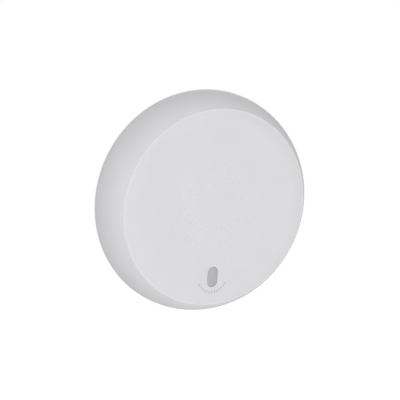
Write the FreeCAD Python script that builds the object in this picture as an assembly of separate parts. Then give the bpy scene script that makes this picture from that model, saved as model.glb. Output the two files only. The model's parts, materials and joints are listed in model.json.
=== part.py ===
import FreeCAD, Part
import math
import os

from FreeCAD import Vector as V

# Wireless smoke detector, hung on a wall: mounting plate, twist-off head, test button.
# Every piece is drawn lying on its back, x to the right, y up, z out of the wall, and is
# then stood up, so that in the files the wall is the plane Y = 0, the face looks to -Y
# and +Z is up. The origin is the centre of the plate's back face. Sizes are millimetres.

# Front cover, outside form
cover_r = 45.0
skirt_in = 1.3
belly_h = 5.2
rim_in = 5.1
rim_drop = 0.8
rim_round = 1.5
face_edge = 6.8
inner_corner = 2.6
cover_wall = 1.8

# Depths, from the wall to the face
plate_h = 4.0
head_gap = 0.4
floor_t = 1.6
housing_h = 10.0
inlet_h = 2.6
fin_overlap = 2.0
cell_recess = 0.5
bay_wall = 1.2
board_gap = 0.1
board_t = 1.6
front_space = 10.2

# Mounting plate
plate_margin = 1.4
plate_t = 1.6
plate_rim_t = 1.6
plate_edge = 0.6
plate_rib_t = 1.2
plate_ribs = 6
plate_boss_r = 5.0
screw_spacing = 38.0
slot_w = 4.4
slot_l = 8.4
well_w = 9.2
well_l = 13.2
well_floor = 1.6
well_wall = 1.2

# Bayonet between plate and head
hook_count = 3
hook_angle = 8.0
hook_half_angle = 4.0
hook_in = 4.1
hook_t = 1.4
hook_reach = 1.7
hook_head_h = 1.4
hook_play = 0.2
hook_side_gap = 0.4
hook_end_gap = 1.0
twist_angle = 15.0

# Rear housing
floor_edge = 0.9
wall_knee = 1.3
housing_wall = 2.2
inlet_gap = 1.1
flange_w = 4.3
flange_t = 1.2
fin_count = 36
fin_t = 0.9
fin_step = 0.4

# Cell and its bay
cell_r = 8.5
cell_l = 34.5
cell_nub_r = 3.2
cell_nub_h = 1.0
cell_edge = 0.8
cell_x = -17.5
cell_clear = 0.2
cell_side_clear = 0.4
cell_end_clear = 0.3
pocket_w = 10.4
pocket_depth = 3.9
pocket_rise = 4.8
contact_t = 0.4
contact_w = 8.0
contact_side_gap = 0.3
contact_foot = 0.8
contact_land = 2.0
contact_flare = 1.0

# Circuit board and its screws
board_margin = 3.6
pillar_r = 2.6
pillar_gap = 2.2
pillar_count = 3
pillar_angle = 60.0
screw_r = 1.1
screw_head_r = 2.2
screw_head_h = 1.6
recess_l = 2.6
recess_w = 0.5
screw_bite = 6.0
screw_gap = 0.2
thread_gap = 0.05

# Snap arms of the cover
snap_count = 3
snap_angle = 0.0
snap_w = 8.0
snap_t = 1.4
snap_gap = 0.4
snap_lip = 1.3
snap_lip_h = 1.7
snap_play = 0.1
seat_ring_h = 1.2
seat_ring_w = 2.6

# Smoke chamber
chamber_gap = 2.5
chamber_side_gap = 1.3
chamber_h = 15.0
chamber_r = 17.4
chamber_base_t = 2.0
chamber_lid_t = 1.2
screen_in = 0.3
screen_t = 0.4
screen_windows = 36
screen_bar = 1.2
screen_ring_h = 1.5
vane_count = 18
vane_t = 0.8
vane_gap = 0.5
vane_knee = 1.7
vane_reach = 3.3
vane_out_angle = -5.0
vane_knee_angle = 6.0
vane_in_angle = -2.5
tunnel_in_r = 4.4
tunnel_l = 7.4
tunnel_w = 5.2
tunnel_h = 5.0
optic_r = 1.5
optic_fit = 0.1
optic_l = 5.0
optic_lip = 1.0
aperture_r = 0.9
emitter_angle = 200.0
sensor_angle = 340.0
lead_w = 0.5
lead_spacing = 1.6
shield_t = 0.3
shield_l = 4.0

# Siren
siren_wall = 1.55
siren_h = 8.6
siren_top_t = 1.2
siren_port_r = 3.0
disc_r = 13.5
disc_fit = 0.15
disc_t = 0.25
disc_rise = 4.75
ledge_w = 0.95
ceramic_r = 10.0
ceramic_t = 0.25
gasket_t = 0.8
gasket_w = 1.2
siren_ring_t = 1.0
siren_ring_gap = 0.3
siren_ring_h = 2.6
spring_t = 0.3
spring_w = 1.4
spring_run = 5.0
spring_foot = 3.3
spring_bend = 1.0
brass_contact_r = 11.2
ceramic_contact_r = 2.0

# Test button, its switch and its light
button_w = 4.5
button_l = 8.4
button_in = 16.9
button_gap = 0.15
button_sink = 0.1
button_edge = 0.3
button_flange = 1.5
button_flange_t = 1.2
button_rest_gap = 0.1
button_travel = 0.35
guide_gap = 0.2
guide_wall = 1.0
guide_h = 2.7
stem_r = 1.9
stem_gap = 0.05
switch_offset = 1.8
switch_w = 6.0
switch_h = 3.4
switch_corner = 0.5
plunger_r = 1.75
plunger_fit = 0.05
plunger_rise = 2.6
plunger_depth = 1.8
plunger_floor_gap = 0.05
light_offset = -4.0
light_w = 2.8
light_l = 3.5
light_h = 1.9
lens_r = 1.15
lens_floor_r = 0.7
lens_depth = 0.95
pipe_r = 1.3
pipe_gap = 0.15

# Parts on the front of the board
radio_x = -23.5
radio_y = 10.0
radio_w = 11.0
radio_l = 16.0
radio_t = 0.8
can_w = 8.6
can_l = 10.6
can_h = 2.2
can_edge = 0.4
aerial_in = 2.0
aerial_t = 0.6
aerial_h = 3.0
aerial_rise = 2.0
aerial_foot = 3.0
aerial_start_angle = 68.0
aerial_end_angle = 171.0
chip_x = 23.0
chip_y = 13.0
chip_w = 7.0
chip_h = 1.4
chip_gap = 0.1
chip_legs = 7
leg_w = 0.4
leg_out = 1.0
leg_h = 0.5
crystal_x = 25.0
crystal_y = 1.0
crystal_w = 4.2
crystal_l = 10.4
crystal_h = 3.4
crystal_foot = 0.5
capacitor_x = -23.0
capacitor_y = -13.0
capacitor_r = 4.0
capacitor_h = 8.6
capacitor_bead = 0.4
coil_x = 23.0
coil_y = -13.0
coil_r = 4.2
coil_h = 6.0
coil_flange_t = 1.1
coil_core_r = 2.2
coil_recess = 0.5
winding_r = 3.5

# How far a cutting shape runs past what it cuts, and how near an edge must lie to be picked
overrun = 1.0
near = 0.001

# Radii and depths that follow from the sizes above
cover_back_r = cover_r - skirt_in
rim_r = cover_r - rim_in
face_flat_r = rim_r - face_edge
flange_r = cover_back_r - cover_wall - inlet_gap
flange_in_r = flange_r - flange_w
floor_z = plate_h + head_gap
floor_top = floor_z + floor_t
flange_top = floor_z + housing_h
skirt_z = flange_top + inlet_h
fin_top = skirt_z + fin_overlap
cell_z = floor_z + cell_recess + cell_r
roof_z = cell_z + cell_r + cell_clear
roof_top = roof_z + bay_wall
board_z = roof_top + board_gap
board_top = board_z + board_t
inner_face_z = board_top + front_space
face_z = inner_face_z + cover_wall
belly_z = skirt_z + belly_h
bay_half_w = cell_r + cell_side_clear
bay_half_l = cell_l / 2 + cell_end_clear
pocket_end = bay_half_l + pocket_depth
pocket_z = floor_z + pocket_rise
chamber_x = cell_x + bay_half_w + bay_wall + chamber_gap + chamber_r
screen_r = chamber_r - screen_in
vane_out_r = screen_r - screen_t - vane_gap
vane_knee_r = vane_out_r - vane_knee
vane_in_r = vane_out_r - vane_reach
siren_r = disc_r + disc_fit + siren_wall
floor_r = chamber_x + chamber_r + chamber_side_gap + housing_wall
plate_r = floor_r - plate_margin
hook_r = plate_r - hook_in
pillar_ring_r = bay_half_w - cell_x + bay_wall + screw_head_r + pillar_gap
board_r = pillar_ring_r + board_margin
aerial_r = board_r - aerial_in
chamber_z = board_z - chamber_h
chamber_floor = board_z - chamber_base_t
optic_z = chamber_floor - tunnel_h / 2
disc_z = board_top + disc_rise
button_y = button_in - cover_r
switch_y = button_y + switch_offset
light_y = button_y + light_offset
switch_top = board_top + switch_h
plunger_top = switch_top + plunger_rise
flange_front = inner_face_z - button_rest_gap
flange_back = flange_front - button_flange_t
snap_r = flange_in_r - snap_gap
snap_z = flange_top - flange_t - snap_play


def block(x0, x1, y0, y1, z0, z1):
    """A box between two opposite corners."""
    return Part.makeBox(x1 - x0, y1 - y0, z1 - z0, V(x0, y0, z0))


def centred(width, length, z0, z1, x=0.0, y=0.0):
    """A box about an upright axis."""
    return block(x - width / 2, x + width / 2, y - length / 2, y + length / 2, z0, z1)


def rod(radius, z0, z1, x=0.0, y=0.0):
    """A round bar along z."""
    return Part.makeCylinder(radius, z1 - z0, V(x, y, z0))


def ring(outer, inner, z0, z1, x=0.0, y=0.0):
    """A round tube along z."""
    return rod(outer, z0, z1, x, y).cut(rod(inner, z0 - overrun, z1 + overrun, x, y))


def obround(width, length, z0, z1, x=0.0, y=0.0, along_x=False):
    """A bar with half-round ends, its long side along y, or along x."""
    ahead, aside = (V(1, 0, 0), V(0, 1, 0)) if along_x else (V(0, 1, 0), V(1, 0, 0))
    step = ahead * ((length - width) / 2)
    end, side = ahead * (width / 2), aside * (width / 2)
    centre = V(x, y, z0)
    low, high = centre - step, centre + step
    outline = [
        Part.LineSegment(low - side, high - side).toShape(),
        Part.Arc(high - side, high + end, high + side).toShape(),
        Part.LineSegment(high + side, low + side).toShape(),
        Part.Arc(low + side, low - end, low - side).toShape(),
    ]
    return Part.Face(Part.Wire(outline)).extrude(V(0, 0, z1 - z0))


def prism(outline, z0, z1):
    """A straight bar along z from a closed outline of points."""
    wire = Part.makePolygon([V(p.x, p.y, z0) for p in outline + outline[:1]])
    return Part.Face(wire).extrude(V(0, 0, z1 - z0))


def side_prism(outline, x0, x1):
    """A straight bar along x from an outline whose points give y and z."""
    wire = Part.makePolygon([V(x0, p.x, p.y) for p in outline + outline[:1]])
    return Part.Face(wire).extrude(V(x1 - x0, 0, 0))


def turned(edges):
    """A solid of revolution about z from the edges of a half section at y = 0."""
    return Part.Face(Part.Wire(edges)).revolve(V(0, 0, 0), V(0, 0, 1), 360)


def section(points):
    """Straight edges of a half section, from (radius, z) pairs."""
    corners = [V(r, 0, z) for r, z in points]
    return Part.makePolygon(corners + corners[:1]).Edges


def strip(path, thick):
    """Outline of a bent strip of even thickness about a path of points."""
    runs = [(b - a).normalize() for a, b in zip(path, path[1:])]
    left = []
    right = []
    for i, point in enumerate(path):
        before = runs[max(i - 1, 0)]
        after = runs[min(i, len(runs) - 1)]
        across = V(-before.y - after.y, before.x + after.x, 0).normalize()
        reach = thick / 2 / (across.y * before.x - across.x * before.y)
        left.append(point + across * reach)
        right.append(point - across * reach)
    return left + right[::-1]


def polar(radius, angle):
    """The point at a radius and an angle in degrees."""
    return V(radius * math.cos(math.radians(angle)), radius * math.sin(math.radians(angle)), 0)


def spun(shape, angle, x=0.0):
    """A copy turned about the upright axis through (x, 0)."""
    copy = shape.copy()
    copy.rotate(V(x, 0, 0), V(0, 0, 1), angle)
    return copy


def around(shape, count, first=0.0, x=0.0):
    """Copies of a shape, spaced evenly about an upright axis."""
    return [spun(shape, first + 360.0 / count * i, x) for i in range(count)]


def sector(inner, outer, start, end, z0, z1):
    """Part of a ring between two angles."""
    bar = block(inner, outer, 0, overrun, z0, z1).Faces
    face = next(f for f in bar if abs(f.CenterOfMass.y) < near)
    return spun(face.revolve(V(0, 0, 0), V(0, 0, 1), end - start), start)


def joined(first, *others):
    """One solid from touching or overlapping ones."""
    return first.fuse(list(others)).removeSplitter()


def tangent_arc(start, end, start_runs_along_z):
    """An arc between two section points that leaves the first one along z or along r."""
    dr, dz = end.x - start.x, end.z - start.z
    off, run = (dr, dz) if start_runs_along_z else (dz, dr)
    radius = (off * off + run * run) / (2 * abs(off))
    half = math.asin(abs(run) / radius) / 2
    across = math.copysign(radius * (1 - math.cos(half)), off)
    ahead = math.copysign(radius * math.sin(half), run)
    middle = V(across, 0, ahead) if start_runs_along_z else V(ahead, 0, across)
    return Part.Arc(start, start + middle, end).toShape()


def hook_angles():
    """Where the plate's hooks stand when the head is locked."""
    return [hook_angle + 360.0 / hook_count * i for i in range(hook_count)]


def mounting_plate():
    """Round plate with two sunk screw slots, stiffening ribs and three bayonet hooks."""
    back = plate_h - plate_t
    outline = section([
        (0, back),
        (plate_r - plate_rim_t, back),
        (plate_r - plate_rim_t, 0),
        (plate_r, 0),
        (plate_r, plate_h - plate_edge),
        (plate_r - plate_edge, plate_h),
        (0, plate_h),
    ])
    plate = turned(outline)
    ribs = around(block(0, plate_r - plate_rim_t / 2, -plate_rib_t / 2, plate_rib_t / 2, 0, back),
                  plate_ribs, 360.0 / plate_ribs / 2)
    added = ribs + [rod(plate_boss_r, 0, back)]
    removed = []
    for x in (-screw_spacing / 2, screw_spacing / 2):
        added.append(obround(well_w + 2 * well_wall, well_l + 2 * well_wall, 0, back, x, 0, True))
        removed.append(obround(well_w, well_l, well_floor, plate_h + overrun, x, 0, True))
        removed.append(obround(slot_w, slot_l, -overrun, plate_h, x, 0, True))
    ledge = floor_top + hook_play
    for angle in hook_angles():
        low, high = angle - hook_half_angle, angle + hook_half_angle
        added.append(sector(hook_r, hook_r + hook_t, low, high, back, ledge))
        added.append(sector(hook_r, hook_r + hook_t + hook_reach, low, high, ledge, ledge + hook_head_h))
        removed.append(sector(hook_r + hook_t, hook_r + hook_t + hook_reach, low, high, -overrun, plate_h))
    return joined(plate, *added).cut(removed)


def wall_section(inset, bottom_z, top_z):
    """The housing's flared side in section, with its knee, moved in by a wall thickness."""
    low_r, high_r = floor_r - inset, flange_r - inset
    knee = ((low_r + high_r) / 2 + wall_knee, (bottom_z + top_z) / 2 - wall_knee)
    return [(low_r, bottom_z), knee, (high_r, top_z)]


def housing_bowl():
    """Floor, side wall and flange of the rear housing, in one turned section."""
    flange_back_z = flange_top - flange_t
    outside = wall_section(0, floor_z + floor_edge, flange_back_z)
    inside = wall_section(housing_wall, floor_top, flange_back_z)
    return turned(section([
        (0, floor_z),
        (floor_r - floor_edge, floor_z),
        *outside,
        (flange_r, flange_top),
        (flange_in_r, flange_top),
        (flange_in_r, flange_back_z),
        *inside[::-1],
        (0, floor_top),
    ]))


def inlet_fin():
    """One upright fin of the smoke inlet, stepped to centre the cover's skirt."""
    return block(flange_in_r + fin_step, flange_r, -fin_t / 2, fin_t / 2, flange_top - flange_t / 2, fin_top)


def bay_block():
    """Outside of the cell's bay, with a pocket for a contact at each end."""
    bay = block(cell_x - bay_half_w - bay_wall, cell_x + bay_half_w + bay_wall,
                -bay_half_l - bay_wall, bay_half_l + bay_wall, floor_top - floor_t / 2, roof_top)
    pockets = centred(pocket_w + 2 * bay_wall, 2 * (pocket_end + bay_wall),
                      pocket_z - bay_wall, roof_top, cell_x)
    return joined(bay, pockets)


def bay_hollow():
    """The space for the cell, open to the back, and the pockets, open to the board."""
    bay = centred(2 * bay_half_w, 2 * bay_half_l, floor_z - overrun, roof_z, cell_x)
    pockets = centred(pocket_w, 2 * pocket_end, pocket_z, roof_top + overrun, cell_x)
    roof = centred(2 * pocket_w, 2 * bay_half_l, roof_z, roof_top + 2 * overrun, cell_x)
    return joined(bay, pockets.cut(roof))


def bayonet_slots():
    """Slots that let the hooks in at one end and hold them by their heads at the other."""
    neck_in = hook_r - hook_side_gap
    neck_out = hook_r + hook_t + hook_side_gap
    head_out = hook_r + hook_t + hook_reach + hook_side_gap
    slots = []
    for angle in hook_angles():
        start = angle - twist_angle - hook_half_angle - hook_end_gap
        entry_end = angle - twist_angle + hook_half_angle + hook_end_gap
        end = angle + hook_half_angle + hook_end_gap
        low, high = floor_z - overrun, floor_top + overrun
        slots.append(sector(neck_in, neck_out, start, end, low, high))
        slots.append(sector(neck_in, head_out, start, entry_end, low, high))
    return slots


def rear_housing():
    """Bowl that carries the cell's bay and the ring of inlet fins, with three bayonet slots."""
    fins = around(inlet_fin(), fin_count, 180.0 / fin_count)
    housing = joined(housing_bowl(), bay_block(), *fins)
    return housing.cut([bay_hollow()] + bayonet_slots())


def cover_outside():
    """The cover's full outer form, with its face, rim, side and skirt."""
    flat_end = V(face_flat_r, 0, face_z)
    rim = V(rim_r, 0, face_z - rim_drop)
    belly = V(cover_r, 0, belly_z)
    back = V(cover_back_r, 0, skirt_z)
    edges = [
        Part.LineSegment(V(0, 0, skirt_z), V(0, 0, face_z)).toShape(),
        Part.LineSegment(V(0, 0, face_z), flat_end).toShape(),
        tangent_arc(flat_end, rim, False),
        tangent_arc(belly, rim, True),
        tangent_arc(belly, back, True),
        Part.LineSegment(back, V(0, 0, skirt_z)).toShape(),
    ]
    body = turned(edges)
    return body.makeFillet(rim_round, rim_edges(body))


def cover_hollow():
    """The space inside the cover, one wall inside its outer form and open at the skirt."""
    back = V(cover_back_r - cover_wall, 0, skirt_z)
    belly = V(cover_r - cover_wall, 0, belly_z)
    rim = V(rim_r - cover_wall, 0, inner_face_z - rim_drop)
    corners = [
        rim,
        V(rim.x - inner_corner, 0, inner_face_z),
        V(0, 0, inner_face_z),
        V(0, 0, skirt_z - overrun),
        V(back.x, 0, skirt_z - overrun),
        back,
        belly,
    ]
    return turned(Part.makePolygon(corners).Edges + [tangent_arc(belly, rim, True)])


def rim_edges(body):
    """The circle where the cover's side meets its face."""
    boxes = [(e, e.BoundBox) for e in body.Edges]
    return [e for e, box in boxes if box.ZLength < near and abs(box.ZMax - face_z + rim_drop) < near]


def snap_arm():
    """One arm that reaches through the board's notch and hooks under the housing's flange."""
    inner = snap_r - snap_t
    arm = block(inner, snap_r, -snap_w / 2, snap_w / 2, snap_z - snap_lip_h, inner_face_z + cover_wall / 2)
    lip = [
        V(snap_r - snap_t / 2, snap_z, 0),
        V(snap_r + snap_lip, snap_z, 0),
        V(snap_r, snap_z - snap_lip_h, 0),
        V(snap_r - snap_t / 2, snap_z - snap_lip_h, 0),
    ]
    wire = Part.makePolygon([V(p.x, -snap_w / 2, p.y) for p in lip + lip[:1]])
    return joined(arm, Part.Face(wire).extrude(V(0, snap_w, 0)))


def pillar_places():
    """Centres of the cover's three screw pillars."""
    return [polar(pillar_ring_r, pillar_angle + 360.0 / pillar_count * i) for i in range(pillar_count)]


def button_guide():
    """Sleeve on the inside of the cover that keeps the button square."""
    width = button_w + 2 * (button_flange + guide_gap)
    length = button_l + 2 * (button_flange + guide_gap)
    low = inner_face_z - guide_h
    outer = obround(width + 2 * guide_wall, length + 2 * guide_wall,
                    low, inner_face_z + cover_wall / 2, 0, button_y)
    return outer.cut(obround(width, length, low - overrun, inner_face_z, 0, button_y))


def front_cover():
    """Domed shell with screw pillars, snap arms, a seat ring, a siren ring and the button's hole."""
    cover = cover_outside().cut(cover_hollow())
    fused_z = inner_face_z + cover_wall / 2
    seat_in = flange_r - seat_ring_w
    inside = [ring(cover_r - cover_wall / 2, seat_in, fin_top, fin_top + seat_ring_h)]
    inside += around(snap_arm(), snap_count, snap_angle)
    for place in pillar_places():
        pillar = rod(pillar_r, board_top, fused_z, place.x, place.y)
        pilot_end = board_top + screw_bite + overrun
        pilot = rod(screw_r + thread_gap, board_top - overrun, pilot_end, place.x, place.y)
        inside.append(pillar.cut(pilot))
    ring_in = siren_r + siren_ring_gap
    inside.append(ring(ring_in + siren_ring_t, ring_in, inner_face_z - siren_ring_h, fused_z))
    inside.append(button_guide())
    cover = joined(cover, *inside)
    hole = obround(button_w + 2 * button_gap, button_l + 2 * button_gap,
                   inner_face_z - overrun, face_z + overrun, 0, button_y)
    return cover.cut(hole)


def test_button():
    """Clear push button: head in the face, flange behind it, stem on the switch, pin over the light."""
    front = face_z - button_sink
    head = obround(button_w, button_l, flange_back, front, 0, button_y)
    edges = [e for e in head.Edges if abs(e.BoundBox.ZMin - front) < near]
    head = head.makeChamfer(button_edge, edges)
    flange = obround(button_w + 2 * button_flange, button_l + 2 * button_flange,
                     flange_back, flange_front, 0, button_y)
    stem = rod(stem_r, plunger_top + stem_gap, flange_back + button_flange_t / 2, 0, switch_y)
    pipe_end = board_top + light_h + button_travel + pipe_gap
    pipe = rod(pipe_r, pipe_end, flange_back + button_flange_t / 2, 0, light_y)
    return joined(head, flange, stem, pipe)


def test_switch():
    """Square switch body with a round well for its plunger."""
    body = centred(switch_w, switch_w, board_top, switch_top, 0, switch_y)
    corners = [e for e in body.Edges if abs(e.BoundBox.ZLength - switch_h) < near]
    body = body.makeChamfer(switch_corner, corners)
    well_floor_z = switch_top - plunger_depth - button_travel - plunger_floor_gap
    return body.cut(rod(plunger_r + plunger_fit, well_floor_z, switch_top + overrun, 0, switch_y))


def switch_plunger():
    """Round plunger under the button's stem."""
    return rod(plunger_r, switch_top - plunger_depth, plunger_top, 0, switch_y)


def status_light():
    """Surface-mounted light below the button, with a round lens well."""
    body = centred(light_w, light_l, board_top, board_top + light_h, 0, light_y)
    lens = Part.makeCone(lens_floor_r, lens_r, lens_depth, V(0, light_y, board_top + light_h - lens_depth))
    return body.cut(lens)


def main_board():
    """Round circuit board, notched for the snap arms and drilled for its screws."""
    board = rod(board_r, board_z, board_top)
    notch_in = snap_r - snap_t - snap_gap
    notch = block(notch_in, snap_r + snap_gap, -snap_w / 2 - snap_gap, snap_w / 2 + snap_gap,
                  board_z - overrun, board_top + overrun)
    removed = around(notch, snap_count, snap_angle)
    for place in pillar_places():
        removed.append(rod(screw_r + screw_gap, board_z - overrun, board_top + overrun, place.x, place.y))
    return board.cut(removed)


def board_screws():
    """Three screws that hold the board to the cover's pillars."""
    screws = []
    for place in pillar_places():
        head = rod(screw_head_r, board_z - screw_head_h, board_z, place.x, place.y)
        shank = rod(screw_r, board_z - screw_head_h / 2, board_top + screw_bite, place.x, place.y)
        low, high = board_z - screw_head_h - overrun, board_z - screw_head_h / 2
        cross = [centred(recess_l, recess_w, low, high, place.x, place.y),
                 centred(recess_w, recess_l, low, high, place.x, place.y)]
        screws.append(joined(head, shank).cut(cross))
    return Part.makeCompound(screws)


def battery():
    """Round lithium cell with a raised positive end."""
    end = cell_l / 2
    outline = section([
        (0, -end),
        (cell_r - cell_edge, -end),
        (cell_r, cell_edge - end),
        (cell_r, end - cell_nub_h - cell_edge),
        (cell_r - cell_edge, end - cell_nub_h),
        (cell_nub_r, end - cell_nub_h),
        (cell_nub_r, end),
        (0, end),
    ])
    cell = turned(outline)
    cell.rotate(V(0, 0, 0), V(1, 0, 0), -90)
    cell.translate(V(cell_x, 0, cell_z))
    return cell


def leaf_contact(side):
    """Bent leaf in a pocket: a leg down from the board, and a nose that presses on the cell."""
    outer = pocket_end - contact_side_gap - contact_t / 2
    low = pocket_z + contact_side_gap + contact_t
    touch = cell_l / 2 + contact_t / 2
    path = [
        V(outer, board_z, 0),
        V(outer, low, 0),
        V(outer - contact_foot, low, 0),
        V(touch, cell_z, 0),
        V(touch, cell_z + contact_land, 0),
        V(touch + contact_flare, cell_z + 2 * contact_land, 0),
    ]
    leaf = side_prism(strip(path, contact_t), cell_x - contact_w / 2, cell_x + contact_w / 2)
    return leaf if side > 0 else leaf.mirror(V(0, 0, 0), V(0, 1, 0))


def tunnel(angle):
    """Radial block on the chamber's base with a bore for a light or a sensor."""
    x0 = chamber_x + tunnel_in_r
    body = block(x0, x0 + tunnel_l, -tunnel_w / 2, tunnel_w / 2, chamber_floor - tunnel_h,
                 chamber_floor + chamber_base_t / 2)
    return spun(body, angle, chamber_x)


def tunnel_bore(angle):
    """The bore of a tunnel, narrowed to a small aperture at its inner end."""
    x0 = chamber_x + tunnel_in_r
    axis = V(1, 0, 0)
    bore = Part.makeCylinder(optic_r + optic_fit, tunnel_l, V(x0 + optic_lip, 0, optic_z), axis)
    aperture = Part.makeCylinder(aperture_r, tunnel_l, V(x0 - overrun, 0, optic_z), axis)
    return spun(bore.fuse(aperture), angle, chamber_x)


def chamber_base():
    """Base of the smoke chamber with the two optical tunnels."""
    base = rod(chamber_r, chamber_floor, board_z, chamber_x, 0)
    base = joined(base, tunnel(emitter_angle), tunnel(sensor_angle))
    removed = [tunnel_bore(emitter_angle), tunnel_bore(sensor_angle)]
    removed += [lead_slot(emitter_angle), lead_slot(sensor_angle)]
    return base.cut(removed)


def lead_slot(angle):
    """Slot through the base for the two leads of an optical part."""
    x = chamber_x + tunnel_in_r + tunnel_l
    gap = optic_fit
    slot = block(x - optic_r, x + lead_w + gap, -lead_spacing / 2 - lead_w / 2 - gap,
                 lead_spacing / 2 + lead_w / 2 + gap, optic_z - lead_w / 2 - gap, board_z + overrun)
    return spun(slot, angle, chamber_x)


def optic(angle, domed):
    """A light or a sensor in its tunnel, with two leads bent to the board."""
    start = chamber_x + tunnel_in_r + optic_lip
    axis = V(1, 0, 0)
    nose = optic_r if domed else 0
    body = Part.makeCylinder(optic_r, optic_l - nose, V(start + nose, 0, optic_z), axis)
    parts = []
    if domed:
        parts.append(Part.makeSphere(optic_r, V(start + nose, 0, optic_z)))
    bend = chamber_x + tunnel_in_r + tunnel_l
    for y in (-lead_spacing / 2, lead_spacing / 2):
        parts.append(block(start + optic_l - optic_r, bend + lead_w, y - lead_w / 2, y + lead_w / 2,
                           optic_z - lead_w / 2, optic_z + lead_w / 2))
        parts.append(block(bend, bend + lead_w, y - lead_w / 2, y + lead_w / 2,
                           optic_z - lead_w / 2, board_z))
    return spun(joined(body, *parts), angle, chamber_x)


def sensor_shield():
    """Folded tin hood over the sensor's tunnel, against stray fields."""
    x0 = chamber_x + tunnel_in_r + optic_lip
    half = tunnel_w / 2
    low = chamber_floor - tunnel_h
    path = [V(-half - shield_t / 2, chamber_floor, 0), V(-half - shield_t / 2, low - shield_t / 2, 0),
            V(half + shield_t / 2, low - shield_t / 2, 0), V(half + shield_t / 2, chamber_floor, 0)]
    hood = side_prism(strip(path, shield_t), x0, x0 + shield_l)
    return spun(hood, sensor_angle, chamber_x)


def vane():
    """One bent vane of the labyrinth: light can't pass it in a straight line, but smoke can."""
    path = [
        polar(vane_out_r, vane_out_angle),
        polar(vane_knee_r, vane_knee_angle),
        polar(vane_in_r, vane_in_angle),
    ]
    bar = prism(strip(path, vane_t), chamber_z + chamber_lid_t / 2, chamber_floor)
    bar.translate(V(chamber_x, 0, 0))
    return bar


def chamber_cover():
    """Lid of the smoke chamber with its ring of bent vanes."""
    lid = rod(chamber_r, chamber_z, chamber_z + chamber_lid_t, chamber_x, 0)
    return joined(lid, *around(vane(), vane_count, 0, chamber_x))


def insect_screen():
    """Thin band round the vanes, pierced with narrow windows."""
    low, high = chamber_z + chamber_lid_t, chamber_floor
    band = ring(screen_r, screen_r - screen_t, low, high, chamber_x, 0)
    width = 2 * math.pi * screen_r / screen_windows - screen_bar
    start, end = chamber_x + screen_r - 2 * screen_t, chamber_x + screen_r + screen_t
    window = block(start, end, -width / 2, width / 2, low + screen_ring_h, high - screen_ring_h)
    return band.cut(around(window, screen_windows, 0, chamber_x))


def siren_cup():
    """Resonator cup over the sounder disc, with a round sound port."""
    wall_in = siren_r - siren_wall
    top = board_top + siren_h
    return turned(section([
        (wall_in, board_top),
        (siren_r, board_top),
        (siren_r, top),
        (siren_port_r, top),
        (siren_port_r, top - siren_top_t),
        (wall_in - ledge_w, top - siren_top_t),
        (wall_in - ledge_w, disc_z),
        (wall_in, disc_z),
    ]))


def siren_disc():
    """Thin brass disc of the sounder, under the cup's ledge."""
    return rod(disc_r, disc_z - disc_t, disc_z)


def siren_ceramic():
    """Ceramic layer on the brass disc."""
    return rod(ceramic_r, disc_z - disc_t - ceramic_t, disc_z - disc_t)


def siren_gasket():
    """Soft ring that holds the brass disc against the ledge."""
    top = disc_z - disc_t
    return ring(disc_r, disc_r - gasket_w, top - gasket_t, top)


def siren_springs():
    """Two bent springs from the board to the sounder, one to the brass and one to the ceramic."""
    springs = []
    half = spring_t / 2
    brass_z = disc_z - disc_t
    for reach, top, turn in ((brass_contact_r, brass_z, 0), (ceramic_contact_r, brass_z - ceramic_t, 90)):
        start = reach - spring_run
        path = [
            V(start, board_top + half, 0),
            V(start + spring_foot, board_top + half, 0),
            V(start + spring_bend, (board_top + top) / 2, 0),
            V(reach, top - half, 0),
            V(reach + spring_w / 2, top - half, 0),
        ]
        leaf = side_prism(strip(path, spring_t), -spring_w / 2, spring_w / 2)
        springs.append(spun(leaf, turn))
    return Part.makeCompound(springs)


def radio_board():
    """Small daughter board of the radio."""
    return centred(radio_w, radio_l, board_top, board_top + radio_t, radio_x, radio_y)


def radio_can():
    """Pressed metal can over the radio's circuit."""
    low = board_top + radio_t
    can = centred(can_w, can_l, low, low + can_h, radio_x, radio_y)
    return can.makeChamfer(can_edge, [e for e in can.Edges if e.BoundBox.ZMax > low + can_h / 2])


def radio_aerial():
    """Stamped strip aerial that follows the board's edge, on a foot at each end."""
    inner, outer = aerial_r - aerial_t / 2, aerial_r + aerial_t / 2
    low = board_top + aerial_rise
    strap = sector(inner, outer, aerial_start_angle, aerial_end_angle, low, low + aerial_h)
    span = math.degrees(aerial_foot / aerial_r)
    feet = [sector(inner, outer, start, start + span, board_top, low + aerial_h / 2)
            for start in (aerial_start_angle, aerial_end_angle - span)]
    return joined(strap, *feet)


def microcontroller():
    """Flat square chip with a row of legs on each side."""
    body = centred(chip_w, chip_w, board_top + chip_gap, board_top + chip_h, chip_x, chip_y)
    pitch = chip_w / (chip_legs + 1)
    reach = chip_w + 2 * leg_out
    low, high = board_top, board_top + leg_h
    legs = []
    for i in range(chip_legs):
        along = -chip_w / 2 + pitch * (i + 1)
        legs.append(centred(reach, leg_w, low, high, chip_x, chip_y + along))
        legs.append(centred(leg_w, reach, low, high, chip_x + along, chip_y))
    return joined(body, *legs)


def clock_crystal():
    """Low metal can with rounded ends on a thin foot."""
    foot = obround(crystal_w + crystal_foot, crystal_l + crystal_foot, board_top, board_top + crystal_foot,
                   crystal_x, crystal_y)
    can = obround(crystal_w, crystal_l, board_top, board_top + crystal_h, crystal_x, crystal_y)
    return joined(foot, can)


def buffer_capacitor():
    """Upright round capacitor with a rolled bead near its foot."""
    low, high = board_top, board_top + capacitor_h
    waist = capacitor_r - capacitor_bead
    can = turned(section([
        (0, low),
        (capacitor_r, low),
        (capacitor_r, low + 2 * capacitor_bead),
        (waist, low + 3 * capacitor_bead),
        (capacitor_r, low + 4 * capacitor_bead),
        (capacitor_r, high - capacitor_bead),
        (waist, high),
        (0, high),
    ]))
    can.translate(V(capacitor_x, capacitor_y, 0))
    return can


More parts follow.
